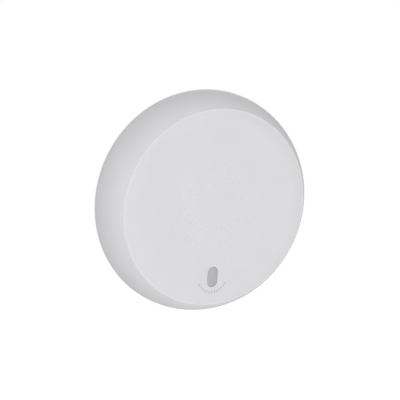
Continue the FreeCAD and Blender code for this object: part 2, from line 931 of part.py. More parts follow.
def boost_coil():
    """Ferrite bobbin of the coil that drives the siren, with its winding."""
    low, high = board_top, board_top + coil_h
    bobbin = turned(section([
        (0, low),
        (coil_r, low),
        (coil_r, low + coil_flange_t),
        (winding_r, low + coil_flange_t),
        (winding_r, high - coil_flange_t),
        (coil_r, high - coil_flange_t),
        (coil_r, high),
        (coil_core_r, high),
        (coil_core_r, high - coil_recess),
        (0, high - coil_recess),
    ]))
    bobbin.translate(V(coil_x, coil_y, 0))
    return bobbin


def hung(shape):
    """Stands a shape up against the wall: z out of the wall becomes -Y, and y becomes +Z."""
    shape.rotate(V(0, 0, 0), V(1, 0, 0), 90)
    return shape


pieces = {
    "mounting_plate": mounting_plate(),
    "rear_housing": rear_housing(),
    "front_cover": front_cover(),
    "test_button": test_button(),
    "test_switch": test_switch(),
    "switch_plunger": switch_plunger(),
    "status_light": status_light(),
    "main_board": main_board(),
    "board_screws": board_screws(),
    "battery": battery(),
    "contact_positive": leaf_contact(1),
    "contact_negative": leaf_contact(-1),
    "chamber_base": chamber_base(),
    "chamber_cover": chamber_cover(),
    "insect_screen": insect_screen(),
    "infrared_emitter": optic(emitter_angle, True),
    "light_sensor": optic(sensor_angle, False),
    "sensor_shield": sensor_shield(),
    "siren_cup": siren_cup(),
    "siren_disc": siren_disc(),
    "siren_ceramic": siren_ceramic(),
    "siren_gasket": siren_gasket(),
    "siren_springs": siren_springs(),
    "radio_board": radio_board(),
    "radio_can": radio_can(),
    "radio_aerial": radio_aerial(),
    "microcontroller": microcontroller(),
    "clock_crystal": clock_crystal(),
    "buffer_capacitor": buffer_capacitor(),
    "boost_coil": boost_coil(),
}

os.makedirs("parts", exist_ok=True)
for name, shape in pieces.items():
    hung(shape).exportStep("parts/" + name + ".step")
    print(name, "solids", len(shape.Solids), "volume", round(shape.Volume, 1), "valid", shape.isValid())
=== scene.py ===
"""Looks of a round, wall-hung wireless smoke detector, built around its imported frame.

The frame gives every piece its size and place. This script adds the fine outer form of the
front cover and of the push-to-test button, gives each piece its finish, and lights them in a
plain white studio. Lengths in the classes of the pieces are millimetres, and those of the lamps,
the studio and the camera are metres. The wall is the plane y = 0, and depth is the distance out
of the wall.
"""

import json
import logging
import math
from collections.abc import Iterable
from dataclasses import dataclass
from enum import Enum, IntEnum

import bmesh
import bpy
from mathutils import Matrix, Vector

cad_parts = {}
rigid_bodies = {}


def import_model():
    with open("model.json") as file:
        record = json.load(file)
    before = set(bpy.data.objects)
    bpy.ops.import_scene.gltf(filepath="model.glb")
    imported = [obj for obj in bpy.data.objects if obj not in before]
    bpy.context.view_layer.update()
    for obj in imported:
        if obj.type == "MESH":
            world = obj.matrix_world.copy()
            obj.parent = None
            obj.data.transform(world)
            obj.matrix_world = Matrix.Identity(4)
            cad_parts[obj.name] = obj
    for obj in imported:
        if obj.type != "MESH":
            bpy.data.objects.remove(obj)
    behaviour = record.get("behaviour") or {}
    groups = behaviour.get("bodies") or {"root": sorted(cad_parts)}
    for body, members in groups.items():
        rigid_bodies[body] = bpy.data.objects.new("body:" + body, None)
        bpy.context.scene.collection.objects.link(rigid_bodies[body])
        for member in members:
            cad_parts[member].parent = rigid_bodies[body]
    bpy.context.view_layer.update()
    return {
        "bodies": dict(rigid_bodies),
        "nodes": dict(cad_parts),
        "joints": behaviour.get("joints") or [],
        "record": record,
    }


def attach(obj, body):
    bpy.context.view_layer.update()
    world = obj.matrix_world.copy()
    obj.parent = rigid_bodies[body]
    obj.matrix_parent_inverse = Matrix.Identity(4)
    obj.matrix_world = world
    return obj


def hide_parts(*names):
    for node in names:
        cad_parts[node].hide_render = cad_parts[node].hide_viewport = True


MM = 0.001
# Points of a mesh that lie closer together than this many millimetres are merged.
MERGE_MM = 0.001
# A wave texture runs through this many radians over one unit at a scale of 1.
WAVE_RADIANS = 20
WHITE = (1.0, 1.0, 1.0, 1.0)
# Turns a shape that lies flat, so that it faces out of the wall.
UPRIGHT = Matrix.Rotation(math.radians(90), 4, "X")
LOG = logging.getLogger("smoke_detector")


def at(x: float, depth: float, z: float) -> Vector:
    """Turns millimetres to the right, out of the wall and up into a point of the frame.

    Args:
        x: Distance to the right of the axis.
        depth: Distance out of the wall.
        z: Height above the axis.

    Returns:
        The point in metres.
    """
    return Vector((x, -depth, z)) * MM


def way(azimuth: float, elevation: float) -> Vector:
    """Gives the direction from the object to a lamp or a camera.

    Args:
        azimuth: Degrees round from straight in front, towards the left.
        elevation: Degrees up from level.

    Returns:
        The direction, with a length of 1.
    """
    turn, rise = math.radians(azimuth), math.radians(elevation)
    return Vector((-math.sin(turn) * math.cos(rise), -math.cos(turn) * math.cos(rise), math.sin(rise)))


def add_object(name: str, data: bpy.types.ID) -> bpy.types.Object:
    """Puts a mesh, a lamp or a camera into the scene.

    Args:
        name: The object's name.
        data: What it shows.

    Returns:
        The object.
    """
    made = bpy.data.objects.new(name, data)
    bpy.context.scene.collection.objects.link(made)
    return made


def linear(code: str) -> tuple[float, float, float, float]:
    """Turns an sRGB hex colour into the linear colour that a shader takes.

    Args:
        code: Six hex digits.

    Returns:
        Red, green, blue and alpha.
    """
    channels = [int(code[i:i + 2], 16) / 255 for i in (0, 2, 4)]
    # The numbers are those of the sRGB standard's curve.
    red, green, blue = [c / 12.92 if c <= 0.04045 else ((c + 0.055) / 1.055) ** 2.4 for c in channels]
    return red, green, blue, 1.0


def scale_of(size_mm: float) -> float:
    """Gives the scale at which a pattern has a size in millimetres."""
    return 1 / (size_mm * MM)


def in_use(sockets: Iterable[bpy.types.NodeSocket], name: str) -> bpy.types.NodeSocket:
    """Finds the socket of a name that a node's settings switch on.

    Args:
        sockets: A node's inputs or outputs.
        name: The socket's name.

    Returns:
        The socket.
    """
    return next(socket for socket in sockets if socket.name == name and socket.enabled)


def add_node(
    tree: bpy.types.NodeTree, kind: str, inputs: dict | None = None, **settings: object
) -> bpy.types.Node:
    """Adds a node, sets it up and links it.

    Args:
        tree: The tree that gets the node.
        kind: The node's type name.
        inputs: Value or output socket for each named input.
        settings: Values of the node's own properties.

    Returns:
        The new node.
    """
    node = tree.nodes.new(kind)
    for key, value in settings.items():
        setattr(node, key, value)
    for key, value in (inputs or {}).items():
        if isinstance(value, bpy.types.NodeSocket):
            tree.links.new(value, in_use(node.inputs, key))
        else:
            in_use(node.inputs, key).default_value = value
    return node


def empty_tree(owner: bpy.types.Material | bpy.types.World) -> bpy.types.NodeTree:
    """Gives a new material or world a node tree without nodes.

    Args:
        owner: The material or world.

    Returns:
        Its tree.
    """
    owner.use_nodes = True
    owner.node_tree.nodes.clear()
    return owner.node_tree


@dataclass(frozen=True)
class Nodes:
    """The parts of a material that a finish draws on."""

    tree: bpy.types.NodeTree
    shader: bpy.types.Node
    place: bpy.types.NodeSocket


@dataclass(frozen=True)
class Finish:
    """What a material is and how its surface was made. Each kind draws its own pattern."""

    name: str
    colour: str
    roughness: float
    ior: float = 1.5
    metallic: float = 0.0

    def material(self) -> bpy.types.Material:
        """Gives the finish's material, which is made the first time.

        Returns:
            The material.
        """
        made = bpy.data.materials.get(self.name)
        if made is not None:
            return made
        made = bpy.data.materials.new(self.name)
        tree = empty_tree(made)
        shader = add_node(tree, "ShaderNodeBsdfPrincipled", {
            "Base Color": linear(self.colour),
            "Roughness": self.roughness,
            "IOR": self.ior,
            "Metallic": self.metallic,
        })
        add_node(tree, "ShaderNodeOutputMaterial", {"Surface": shader.outputs["BSDF"]})
        self.draw(Nodes(tree, shader, add_node(tree, "ShaderNodeTexCoord").outputs["Object"]))
        return made

    def draw(self, nodes: Nodes) -> None:
        """Draws the finish's pattern.

        Args:
            nodes: The material's nodes.
        """
        raise NotImplementedError

    def tint(self, nodes: Nodes, amount: bpy.types.NodeSocket, other: str) -> None:
        """Lets a pattern lead the finish's colour over to another one.

        Args:
            nodes: The material's nodes.
            amount: The pattern, from 0 to 1.
            other: The colour where the pattern is 1, as hex digits.
        """
        mix = add_node(nodes.tree, "ShaderNodeMix", data_type="RGBA")
        for name, value in (("A", linear(self.colour)), ("B", linear(other))):
            in_use(mix.inputs, name).default_value = value
        nodes.tree.links.new(amount, in_use(mix.inputs, "Factor"))
        nodes.tree.links.new(in_use(mix.outputs, "Result"), nodes.shader.inputs["Base Color"])

    def spread(self, nodes: Nodes, amount: bpy.types.NodeSocket, reach: float) -> None:
        """Lets a pattern vary the finish's roughness about its own value.

        Args:
            nodes: The material's nodes.
            amount: The pattern, from 0 to 1.
            reach: How far the roughness goes to either side.
        """
        vary = add_node(nodes.tree, "ShaderNodeMapRange", {
            "Value": amount,
            "To Min": self.roughness - reach,
            "To Max": self.roughness + reach,
        })
        nodes.tree.links.new(vary.outputs["Result"], nodes.shader.inputs["Roughness"])


@dataclass(frozen=True)
class Moulded(Finish):
    """Injection-moulded plastic from a spark-eroded mould.

    The eye sees an even satin skin with a very fine grain, a faint cloudiness from the melt's
    flow, and edges that are never quite sharp.
    """

    flow: str = "dcdcdf"
    flow_mm: float = 18.0
    flow_detail: float = 2.0
    # The real grain is about 0.05 mm wide, too fine to show, so it is drawn coarser.
    grain_mm: float = 0.45
    grain_detail: float = 3.0
    grain_depth_mm: float = 0.004
    gloss_reach: float = 0.06
    # 0 leaves the edges alone, where the mesh itself is rounded.
    edge_mm: float = 0.25
    edge_samples: int = 4

    def draw(self, nodes: Nodes) -> None:
        """Draws flow, grain and soft edges.

        Args:
            nodes: The material's nodes.
        """
        flow = add_node(nodes.tree, "ShaderNodeTexNoise", {
            "Vector": nodes.place, "Scale": scale_of(self.flow_mm), "Detail": self.flow_detail,
        })
        self.tint(nodes, flow.outputs["Fac"], self.flow)
        grain = add_node(nodes.tree, "ShaderNodeTexNoise", {
            "Vector": nodes.place, "Scale": scale_of(self.grain_mm), "Detail": self.grain_detail,
        })
        self.spread(nodes, grain.outputs["Fac"], self.gloss_reach)
        bump = add_node(nodes.tree, "ShaderNodeBump", {
            "Height": grain.outputs["Fac"], "Distance": self.grain_depth_mm * MM,
        })
        if self.edge_mm:
            radius = {"Radius": self.edge_mm * MM}
            edge = add_node(nodes.tree, "ShaderNodeBevel", radius, samples=self.edge_samples)
            nodes.tree.links.new(edge.outputs["Normal"], bump.inputs["Normal"])
        nodes.tree.links.new(bump.outputs["Normal"], nodes.shader.inputs["Normal"])


@dataclass(frozen=True)
class ClearMoulded(Finish):
    """Clear resin, moulded or cast, with a lightly frosted skin.

    The eye sees a deeper, smoother body than in the opaque plastic beside it, with light that
    scatters a little way in.
    """

    depth_mm: float = 1.0
    scatter: float = 0.4
    ripple_mm: float = 3.0
    ripple_detail: float = 1.0
    ripple_depth_mm: float = 0.01
    gloss_reach: float = 0.04

    def draw(self, nodes: Nodes) -> None:
        """Draws the scatter inside and the faint ripple of the skin.

        Args:
            nodes: The material's nodes.
        """
        nodes.shader.inputs["Subsurface Weight"].default_value = self.scatter
        nodes.shader.inputs["Subsurface Scale"].default_value = self.depth_mm * MM
        # Red, green and blue light go equally far in.
        nodes.shader.inputs["Subsurface Radius"].default_value = (1.0, 1.0, 1.0)
        ripple = add_node(nodes.tree, "ShaderNodeTexNoise", {
            "Vector": nodes.place, "Scale": scale_of(self.ripple_mm), "Detail": self.ripple_detail,
        })
        self.spread(nodes, ripple.outputs["Fac"], self.gloss_reach)
        bump = add_node(nodes.tree, "ShaderNodeBump", {
            "Height": ripple.outputs["Fac"], "Distance": self.ripple_depth_mm * MM,
        })
        nodes.tree.links.new(bump.outputs["Normal"], nodes.shader.inputs["Normal"])


class Metal(Enum):
    """Metals of the small parts, by the colour and roughness that their skin has."""

    ZINC = ("a9abae", 0.38)
    NICKEL = ("b5aea0", 0.24)
    TIN = ("bcbdbe", 0.3)
    STAINLESS = ("8f8f90", 0.34)
    BRASS = ("c8a560", 0.28)


@dataclass(frozen=True)
class Rolled(Finish):
    """Sheet or wire metal that was rolled or drawn and then plated.

    The eye sees fine lines that run one way and break up the gloss, and a cloud of handling
    marks across them.
    """

    # Real rolling lines lie about 0.02 mm apart, too fine to show, so they are drawn coarser.
    line_mm: float = 0.12
    line_stretch: float = 30.0
    line_detail: float = 1.0
    line_depth_mm: float = 0.002
    cloud_mm: float = 4.0
    cloud_detail: float = 4.0
    gloss_reach: float = 0.12

    @classmethod
    def of(cls, metal: Metal, name: str) -> "Rolled":
        """Makes the finish of one of the metals.

        Args:
            metal: Which metal.
            name: The material's name.

        Returns:
            The finish.
        """
        colour, roughness = metal.value
        return cls(name, colour, roughness, metallic=1.0)

    def draw(self, nodes: Nodes) -> None:
        """Draws rolling lines and handling marks.

        Args:
            nodes: The material's nodes.
        """
        fine = scale_of(self.line_mm)
        along = add_node(nodes.tree, "ShaderNodeMapping", {
            "Vector": nodes.place, "Scale": (fine, fine, fine / self.line_stretch),
        })
        # The mapping holds the whole scale, so the noise adds none.
        lines = add_node(nodes.tree, "ShaderNodeTexNoise", {
            "Vector": along.outputs["Vector"], "Scale": 1.0, "Detail": self.line_detail,
        })
        cloud = add_node(nodes.tree, "ShaderNodeTexNoise", {
            "Vector": nodes.place, "Scale": scale_of(self.cloud_mm), "Detail": self.cloud_detail,
        })
        self.spread(nodes, cloud.outputs["Fac"], self.gloss_reach)
        bump = add_node(nodes.tree, "ShaderNodeBump", {
            "Height": lines.outputs["Fac"], "Distance": self.line_depth_mm * MM,
        })
        nodes.tree.links.new(bump.outputs["Normal"], nodes.shader.inputs["Normal"])


@dataclass(frozen=True)
class Laminate(Finish):
    """Glass cloth laminate under solder resist.

    The eye sees a glossy coloured coat, the cloth's weave as a faint grid, and lighter fields
    with slanted edges where copper lies under the coat.
    """

    copper: str = "1f6b3c"
    # The real spacing of the cloth's threads.
    thread_mm: float = 0.5
    weave_share: float = 0.2
    # Real tracks are about 0.3 mm wide, too fine to show, so the copper is drawn as coarser fields.
    field_mm: float = 2.4
    field_shift: float = 0.9
    copper_from: float = 0.48
    copper_full: float = 0.5
    relief_mm: float = 0.02

    def draw(self, nodes: Nodes) -> None:
        """Draws copper fields and the weave.

        Args:
            nodes: The material's nodes.
        """
        fields = add_node(nodes.tree, "ShaderNodeTexVoronoi", {
            "Vector": nodes.place, "Scale": scale_of(self.field_mm), "Randomness": self.field_shift,
        }, feature="F1", distance="MANHATTAN")
        raised = add_node(nodes.tree, "ShaderNodeMapRange", {
            "Value": fields.outputs["Color"], "From Min": self.copper_from, "From Max": self.copper_full,
        })
        self.tint(nodes, raised.outputs["Result"], self.copper)
        height = raised.outputs["Result"]
        for direction in ("X", "Z"):
            thread = add_node(nodes.tree, "ShaderNodeTexWave", {
                "Vector": nodes.place, "Scale": math.tau / WAVE_RADIANS * scale_of(self.thread_mm),
            }, bands_direction=direction)
            both = add_node(nodes.tree, "ShaderNodeMath", operation="MULTIPLY_ADD")
            both.inputs[1].default_value = self.weave_share
            nodes.tree.links.new(thread.outputs["Fac"], both.inputs[0])
            nodes.tree.links.new(height, both.inputs[2])
            height = both.outputs["Value"]
        bump = add_node(nodes.tree, "ShaderNodeBump", {"Height": height, "Distance": self.relief_mm * MM})
        nodes.tree.links.new(bump.outputs["Normal"], nodes.shader.inputs["Normal"])


@dataclass(frozen=True)
class Sintered(Finish):
    """Pressed and fired powder, such as ferrite or a silvered ceramic, or filled epoxy.

    The eye sees a dry, even, fine-grained skin with small pits.
    """

    # The real powder's grain is about 0.02 mm wide, too fine to show, so it is drawn coarser.
    grain_mm: float = 0.3
    grain_detail: float = 4.0
    pit_depth_mm: float = 0.01
    gloss_reach: float = 0.1
    other: str = "3a3a3c"

    def draw(self, nodes: Nodes) -> None:
        """Draws grain and pits.

        Args:
            nodes: The material's nodes.
        """
        grain = add_node(nodes.tree, "ShaderNodeTexNoise", {
            "Vector": nodes.place, "Scale": scale_of(self.grain_mm), "Detail": self.grain_detail,
        })
        self.tint(nodes, grain.outputs["Fac"], self.other)
        self.spread(nodes, grain.outputs["Fac"], self.gloss_reach)
        bump = add_node(nodes.tree, "ShaderNodeBump", {
            "Height": grain.outputs["Fac"], "Distance": self.pit_depth_mm * MM,
        })
        nodes.tree.links.new(bump.outputs["Normal"], nodes.shader.inputs["Normal"])


# Nearly without gloss, so the cover's shading runs evenly from the face to the skirt.
ABS_WHITE = Moulded("ABS white, spark-eroded mould", "e3e3e5", 0.82, ior=1.46, edge_mm=0.0)
# Painted highlight on the rim's land: lighter in colour than the skin beside it, and a little smoother, so
# the rim shows as a thin bright line.
ABS_RIM_HIGHLIGHT = Moulded("ABS white, painted rim highlight", "e6e6e8", 0.7, ior=1.46, flow="e3e3e5", edge_mm=0.0)
# Smoother than the cover, with a soft gloss on the housing and the plate.
ABS_BACK = Moulded("ABS white, plain mould", "dededf", 0.42, grain_depth_mm=0.002)
# Deep and dull, as it has to swallow stray light in the smoke chamber.
ABS_BLACK = Moulded("ABS black, matt mould", "1c1c1e", 0.6, flow="232325", grain_depth_mm=0.006)
# Waxy, with a soft gloss.
NYLON_BLACK = Moulded("Nylon black, moulded", "222224", 0.4, flow="2a2a2c")
NYLON_GREY = Moulded("Nylon grey, moulded", "58595c", 0.45, flow="616265")
# Dull and soft, without a highlight.
RUBBER = Moulded("Silicone rubber, moulded", "2b2b2d", 0.75, flow="333335", grain_depth_mm=0.01)
# Tight, smooth film with long highlights.
SLEEVE = Moulded("PVC sleeve, shrunk on", "3c4a63", 0.28, flow="42506a", flow_mm=9.0, grain_depth_mm=0.003)
SLEEVE_DARK = Moulded("PVC sleeve, shrunk on a can", "20263c", 0.28, flow="262c44", flow_mm=6.0)
# Thin grey film, slightly glossier than the plastic that it lies on.
INK = Moulded("Pad-printed ink, grey", "bdbec3", 0.45, flow="b9babf", grain_depth_mm=0.001, edge_mm=0.0)
# Cool grey, frosted and slightly see-through at its edges.
BUTTON_RESIN = ClearMoulded("Polycarbonate frosted, moulded", "b4b5bc", 0.42, ior=1.58)
# Glossy as a droplet. Each tint tells what the part does with light.
LAMP_RESIN = ClearMoulded("Epoxy clear, cast", "d9d8cc", 0.12, ior=1.55, depth_mm=2.0)
EMITTER_RESIN = ClearMoulded("Epoxy water-tinted, cast", "57547a", 0.1, ior=1.55, depth_mm=1.5)
SENSOR_RESIN = ClearMoulded("Epoxy daylight-blocking, cast", "1a1a24", 0.12, ior=1.55, scatter=0.1)
# Smooth coat over copper and cloth, green on the main board and blue on the radio's.
RESIST_GREEN = Laminate("Solder resist green, on glass cloth", "1b5d35", 0.28)
RESIST_BLUE = Laminate("Solder resist blue, on glass cloth", "1a3869", 0.28, copper="1d3d74")
# Dry and fine-grained, without lines or clouds.
EPOXY = Sintered("Epoxy filled, transfer moulded", "222224", 0.55, other="2b2b2d", grain_mm=0.2)
FERRITE = Sintered("Ferrite, sintered", "35353a", 0.6)
SILVERED = Sintered("Silver fired on ceramic", "d4d4d0", 0.4, metallic=0.6, other="c2c2bd")
# Metals with broken reflections, told apart by warmth and brightness.
ZINC = Rolled.of(Metal.ZINC, "Zinc-plated steel, cold-headed")
NICKEL = Rolled.of(Metal.NICKEL, "Nickel-plated spring steel, stamped")
TINPLATE = Rolled.of(Metal.TIN, "Tinplate, folded")
STAINLESS = Rolled.of(Metal.STAINLESS, "Stainless steel, etched")
BRASS = Rolled.of(Metal.BRASS, "Brass, rolled")


class Outline:
    """Half section of a turned shape, drawn from point to point and then spun about its axis."""

    def __init__(
        self, mesh: bmesh.types.BMesh, radius: float, depth: float, centre: tuple[float, float] = (0.0, 0.0)
    ) -> None:
        """Starts the section at its first point.

        Args:
            mesh: The mesh that it is drawn in.
            radius: The point's distance from the axis.
            depth: The point's distance out of the wall.
            centre: Place of the axis, to the right and up.
        """
        self.mesh = mesh
        self.centre = centre
        self.tip = mesh.verts.new(self.place(radius, depth))
        self.start = self.tip
        self.drawn: list[bmesh.types.BMVert | bmesh.types.BMEdge] = [self.tip]

    def place(self, radius: float, depth: float) -> Vector:
        """Gives the point of the section at a radius and a depth."""
        return at(self.centre[0] + radius, depth, self.centre[1])

    def line(self, radius: float, depth: float) -> "Outline":
        """Goes straight to the next point.

        Args:
            radius: The point's distance from the axis.
            depth: The point's distance out of the wall.

        Returns:
            The section itself.
        """
        grown = bmesh.ops.extrude_vert_indiv(self.mesh, verts=[self.tip])
        self.tip = grown["verts"][0]
        self.tip.co = self.place(radius, depth)
        self.drawn += [self.tip, *grown["edges"]]
        return self

    def arc(self, radius: float, depth: float, degrees: float, steps: int) -> "Outline":
        """Goes round a centre from the last point.

        Args:
            radius: The centre's distance from the axis.
            depth: The centre's distance out of the wall.
            degrees: Turn about the centre, positive from the face towards the side.
            steps: Number of edges in the arc.

        Returns:
            The section itself.
        """
        step = Matrix.Rotation(math.radians(degrees / steps), 3, "Z")
        for _ in range(steps):
            grown = bmesh.ops.extrude_vert_indiv(self.mesh, verts=[self.tip])
            self.tip = grown["verts"][0]
            bmesh.ops.rotate(self.mesh, cent=self.place(radius, depth), matrix=step, verts=[self.tip])
            self.drawn += [self.tip, *grown["edges"]]
        return self

    def closed(self) -> "Outline":
        """Joins the last point to the first one."""
        self.drawn.append(self.mesh.edges.new((self.tip, self.start)))
        return self

    def spun(self, steps: int) -> None:
        """Spins the section once round its axis.

        Args:
            steps: Number of steps in the turn.
        """
        axis = Vector((0, 1, 0))
        bmesh.ops.spin(
            self.mesh, geom=self.drawn, cent=self.place(0, 0), axis=axis, angle=math.tau, steps=steps,
            use_merge=True,
        )

    def swept(self, middle: float, half_width: float, steps: int) -> None:
        """Spins a closed section over a part of a turn and closes both ends.

        Args:
            middle: Direction of the middle of the sweep, in degrees from the right, upwards.
            half_width: Half of the sweep, in degrees.
            steps: Number of steps in the sweep.
        """
        centre = self.place(0, 0)
        axis = Vector((0, 1, 0))
        verts = [part for part in self.drawn if isinstance(part, bmesh.types.BMVert)]
        begin = Matrix.Rotation(math.radians(-middle - half_width), 3, axis)
        bmesh.ops.rotate(self.mesh, cent=centre, matrix=begin, verts=verts)
        sweep = math.radians(2 * half_width)
        spun = bmesh.ops.spin(
            self.mesh, geom=self.drawn, cent=centre, axis=axis, angle=sweep, steps=steps,
        )
        for part in (self.drawn, spun["geom_last"]):
            edges = [edge for edge in part if isinstance(edge, bmesh.types.BMEdge)]
            bmesh.ops.edgeloop_fill(self.mesh, edges=edges)


def obround(
    mesh: bmesh.types.BMesh, centre: tuple[float, float], depth: float, half_width: float, half_length: float
) -> list[bmesh.types.BMEdge]:
    """Draws an upright round-ended slot as a loop of edges, facing out of the wall.

    Args:
        mesh: The mesh that it is drawn in.
        centre: Middle of the slot, to the right and up.
        depth: Distance of the loop out of the wall.
        half_width: Half of its width.
        half_length: Half of its length.

    Returns:
        The loop's edges.
    """
    sides = 48
    # Half a side's turn keeps corners off the level line, so the circle splits into equal halves.
    turn = UPRIGHT @ Matrix.Rotation(math.pi / sides, 4, "Z")
    middle = at(centre[0], depth, centre[1])
    made = bmesh.ops.create_circle(
        mesh, segments=sides, radius=half_width * MM, matrix=Matrix.Translation(middle) @ turn
    )
    straight = (half_length - half_width) * MM
    for sign in (1, -1):
        half = [vert for vert in made["verts"] if (vert.co.z - middle.z) * sign > 0]
        bmesh.ops.translate(mesh, vec=(0, 0, sign * straight), verts=half)
    return list({edge for vert in made["verts"] for edge in vert.link_edges})


def bridged(mesh: bmesh.types.BMesh, loops: list[list[bmesh.types.BMEdge]]) -> None:
    """Joins each loop of edges to the next one by a ring of faces.

    Args:
        mesh: The mesh that the loops are in.
        loops: The loops, in order.
    """
    for near, far in zip(loops, loops[1:]):
        bmesh.ops.bridge_loops(mesh, edges=[*near, *far])


def tangent_arc(off: float, run: float) -> tuple[float, float]:
    """Works out an arc from the way that it strays off its first direction over a run.

    Args:
        off: How far the arc's end lies aside of its first direction.
        run: How far it lies along it.

    Returns:
        The arc's radius and its turn in degrees.
    """
    radius = (off ** 2 + run ** 2) / (2 * off)
    return radius, math.degrees(math.asin(run / radius))


def ring(mesh: bmesh.types.BMesh, radius: float, depth: float) -> list[bmesh.types.BMEdge]:
    """Finds the round of edges at a radius about the main axis and a depth.

    Args:
        mesh: The mesh.
        radius: The ring's radius.
        depth: Its distance out of the wall.

    Returns:
        Its edges.
    """
    # How far off the ring a point may lie, in millimetres.
    near = 0.01

    def on_ring(vert: bmesh.types.BMVert) -> bool:
        """Tells whether a point lies on the ring."""
        x, y, z = vert.co / MM
        return abs(math.hypot(x, z) - radius) < near and abs(-y - depth) < near

    return [edge for edge in mesh.edges if all(on_ring(vert) for vert in edge.verts)]


def to_piece(
    name: str, mesh: bmesh.types.BMesh, finishes: list[Finish], body: str, sharp: float = 15.0
) -> bpy.types.Object:
    """Turns a finished mesh into an object that rides on a body.

    Args:
        name: The object's name.
        mesh: The mesh, in the frame's own place.
        finishes: The finish of each material number.
        body: The body that it rides on.
        sharp: Angle between faces above which their edge shows, in degrees.

    Returns:
        The object.
    """
    bmesh.ops.remove_doubles(mesh, verts=mesh.verts, dist=MERGE_MM * MM)
    bmesh.ops.recalc_face_normals(mesh, faces=mesh.faces)
    for face in mesh.faces:
        face.smooth = True
    for edge in mesh.edges:
        edge.smooth = len(edge.link_faces) == 2 and edge.calc_face_angle() < math.radians(sharp)
    data = bpy.data.meshes.new(name)
    mesh.to_mesh(data)
    mesh.free()
    for finish in finishes:
        data.materials.append(finish.material())
    made = add_object(name, data)
    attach(made, body)
    LOG.info("%s: %d faces on %s", name, len(data.polygons), body)
    return made


def dress(frame: dict, finishes: dict[str, Finish]) -> None:
    """Gives nodes of the frame their finish.

    Args:
        frame: The loaded frame.
        finishes: The finish of each node.
    """
    for name, finish in finishes.items():
        node = frame["nodes"][name]
        for material_slot in node.material_slots:
            material_slot.material = finish.material()
        LOG.info("%s: %s", name, finish.name)


@dataclass
class TestButton:
    """The push-to-test button, a clear grey obround key that also guides the status light out."""

    centre: tuple[float, float] = (0.0, -28.1)
    half_width: float = 2.15
    half_length: float = 4.05
    front: float = 36.9
    edge: float = 0.3
    flange_grow: float = 1.5
    flange_front: float = 35.1
    flange_back: float = 33.9
    stem_r: float = 1.9
    stem_z: float = -26.3
    stem_back: float = 31.05
    pipe_r: float = 1.3
    pipe_z: float = -32.1
    pipe_back: float = 27.4
    edge_steps: int = 4
    post_steps: int = 32
    sharp: float = 25.0

    def loop(self, mesh: bmesh.types.BMesh, depth: float, grow: float) -> list[bmesh.types.BMEdge]:
        """Draws the button's outline, grown by a margin.

        Args:
            mesh: The mesh that it is drawn in.
            depth: Distance of the loop out of the wall.
            grow: How much wider than the button on each side.

        Returns:
            The loop's edges.
        """
        return obround(mesh, self.centre, depth, self.half_width + grow, self.half_length + grow)

    def rounded(
        self, mesh: bmesh.types.BMesh, front: float, grow: float, bend: float, steps: int
    ) -> list[list[bmesh.types.BMEdge]]:
        """Draws the loops along the rounded front edge of the button or of its opening.

        Args:
            mesh: The mesh that they are drawn in.
            front: Depth of the first loop.
            grow: How much wider than the button the last loop is on each side.
            bend: Radius of the edge, below 0 where it narrows towards the front.
            steps: Number of steps in the edge.

        Returns:
            The loops, from the front backwards.
        """
        loops = []
        for step in range(steps + 1):
            turn = math.radians(90) * step / steps
            depth = front - abs(bend) * (1 - math.cos(turn))
            loops.append(self.loop(mesh, depth, grow + bend * (1 - math.sin(turn))))
        return loops

    def key(self, mesh: bmesh.types.BMesh) -> None:
        """Makes the key with its rounded front edge and its flange.

        Args:
            mesh: The mesh that it is made in.
        """
        loops = self.rounded(mesh, self.front, 0, -self.edge, self.edge_steps)
        loops.append(self.loop(mesh, self.flange_front, 0))
        loops.append(self.loop(mesh, self.flange_front, self.flange_grow))
        loops.append(self.loop(mesh, self.flange_back, self.flange_grow))
        bridged(mesh, loops)
        for end in (loops[0], loops[-1]):
            bmesh.ops.edgeloop_fill(mesh, edges=end)

    def post(self, mesh: bmesh.types.BMesh, radius: float, z: float, back: float) -> None:
        """Makes a round post that reaches in from the flange.

        Args:
            mesh: The mesh that it is made in.
            radius: The post's radius.
            z: Its height.
            back: How deep it reaches.
        """
        sunk = (self.flange_front + self.flange_back) / 2
        outline = Outline(mesh, 0, sunk, (self.centre[0], z)).line(radius, sunk)
        outline.line(radius, back).line(0, back).spun(self.post_steps)

    def build(self) -> None:
        """Builds the button in place of its plain solid."""
        mesh = bmesh.new()
        self.key(mesh)
        self.post(mesh, self.stem_r, self.stem_z, self.stem_back)
        self.post(mesh, self.pipe_r, self.pipe_z, self.pipe_back)
        piece = to_piece("test_button_form", mesh, [BUTTON_RESIN], "button", self.sharp)
        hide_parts("test_button")


class CoverSkin(IntEnum):
    """Material numbers of the front cover's faces."""

    BODY = 0
    PRINT = 1
    # The land on the rim, whose faces carry a painted highlight.
    LAND = 2


